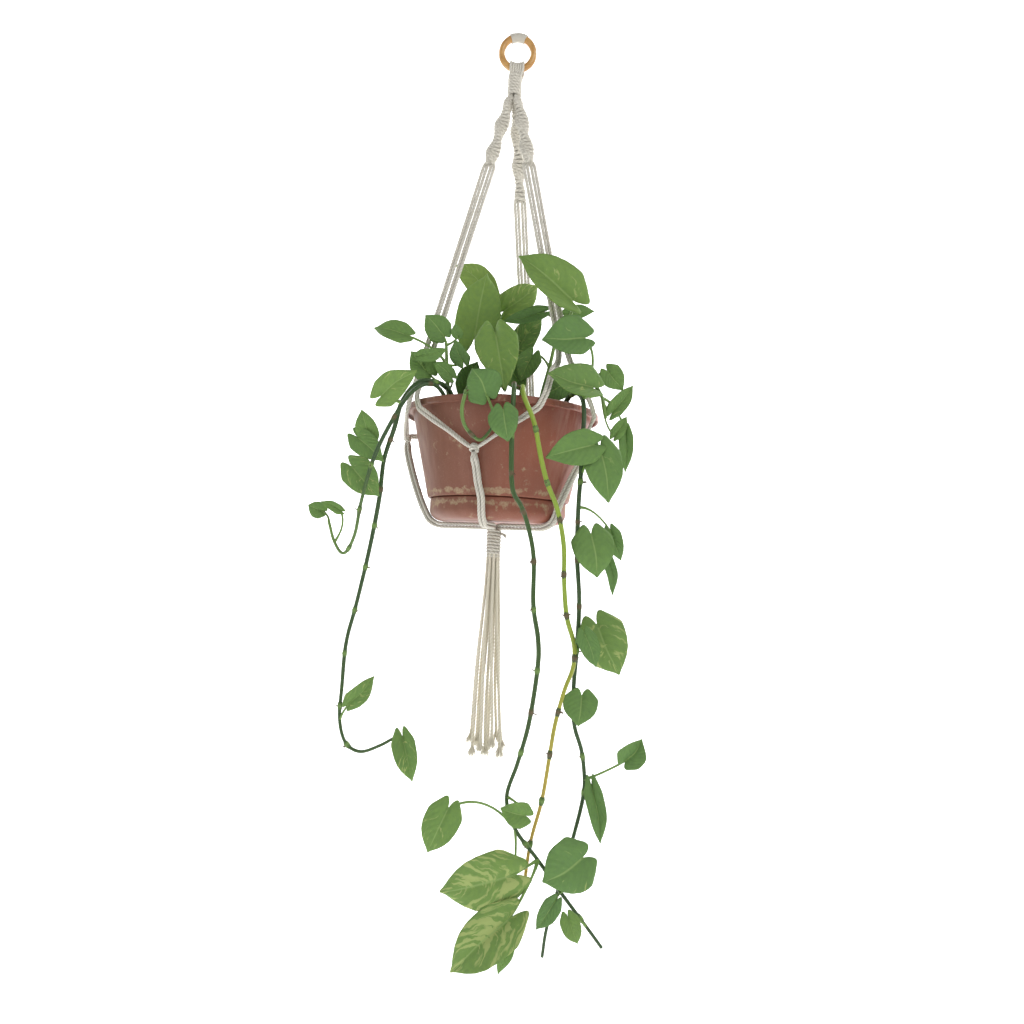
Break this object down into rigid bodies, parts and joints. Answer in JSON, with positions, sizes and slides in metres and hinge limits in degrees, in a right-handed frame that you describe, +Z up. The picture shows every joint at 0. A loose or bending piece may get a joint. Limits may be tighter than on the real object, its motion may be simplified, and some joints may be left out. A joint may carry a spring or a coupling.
{
  "type": "hanging macrame planter",
  "caption": "Knotted cotton cord hanger on a wooden ring, carrying a round plastic pot with a clip-on drip tray and trailing vines, over a cord tassel.",
  "frame": {"origin": "the point where a hook bears on the underside of the wrapped top of the wooden ring", "axes": "+Z up, +X to the planter's right as seen from the front, -Y towards the front"},
  "size_m": [0.4247, 0.2929, 1.1623],
  "materials": {
    "ring_wood": "lightly varnished golden brown wood",
    "cotton_cord": "twisted off-white cotton cord",
    "tassel_cord": "twisted warm cream cotton cord, frayed ends",
    "pot_plastic": "matte terracotta brown plastic with mineral stains",
    "potting_soil": null,
    "foliage": "glossy variegated green leaves and stems"
  },
  "bodies": {
    "root": {"wooden_ring": "ring_wood", "ring_top_wrap": "cotton_cord"},
    "hanger": {"bottom_wrap": "cotton_cord", "cord_back_to_left_inner": "cotton_cord", "cord_back_to_left_outer": "cotton_cord", "cord_back_to_right_inner": "cotton_cord", "cord_back_to_right_outer": "cotton_cord", "cord_left_to_front_inner": "cotton_cord", "cord_left_to_front_outer": "cotton_cord", "cord_left_to_left_inner": "cotton_cord", "cord_left_to_left_outer": "cotton_cord", "cord_right_to_front_inner": "cotton_cord", "cord_right_to_front_outer": "cotton_cord", "cord_right_to_right_inner": "cotton_cord", "cord_right_to_right_outer": "cotton_cord", "knot_front": "cotton_cord", "knot_left": "cotton_cord", "knot_right": "cotton_cord", "neck_wrap": "cotton_cord", "ring_loops": "cotton_cord", "sinnet_back": "cotton_cord", "sinnet_left": "cotton_cord", "sinnet_right": "cotton_cord", "sling_front_inner_a": "cotton_cord", "sling_front_inner_b": "cotton_cord", "sling_front_outer_a": "cotton_cord", "sling_front_outer_b": "cotton_cord", "sling_left_inner_a": "cotton_cord", "sling_left_inner_b": "cotton_cord", "sling_left_outer_a": "cotton_cord", "sling_left_outer_b": "cotton_cord", "sling_right_inner_a": "cotton_cord", "sling_right_inner_b": "cotton_cord", "sling_right_outer_a": "cotton_cord", "sling_right_outer_b": "cotton_cord"},
    "planted_pot": {"crown_centre": "foliage", "crown_far_right": "foliage", "crown_left": "foliage", "crown_right": "foliage", "drip_tray": "pot_plastic", "front_loop": "foliage", "pot": "pot_plastic", "soil": "potting_soil", "vine_centre": "foliage", "vine_left_long": "foliage", "vine_left_short": "foliage", "vine_right": "foliage", "vine_yellow": "foliage"},
    "tassel": {"tassel_cord_1": "tassel_cord", "tassel_cord_10": "tassel_cord", "tassel_cord_11": "tassel_cord", "tassel_cord_12": "tassel_cord", "tassel_cord_2": "tassel_cord", "tassel_cord_3": "tassel_cord", "tassel_cord_4": "tassel_cord", "tassel_cord_5": "tassel_cord", "tassel_cord_6": "tassel_cord", "tassel_cord_7": "tassel_cord", "tassel_cord_8": "tassel_cord", "tassel_cord_9": "tassel_cord"}
  },
  "joints": [
    {"name": "hanger_swing", "type": "hinge", "parent": "root", "child": "hanger", "pos_m": [0, 0, -0.03575], "axis": [1, 0, 0], "range_deg": [-40, 40]},
    {"name": "pot_lift", "type": "slide", "parent": "hanger", "child": "planted_pot", "axis": [0, 0, 1], "range_m": [0, 0.006]},
    {"name": "tassel_swing", "type": "hinge", "parent": "hanger", "child": "tassel", "pos_m": [-0.003, -0.025, -0.669], "axis": [1, 0, 0], "range_deg": [-20, 20]}
  ]
}
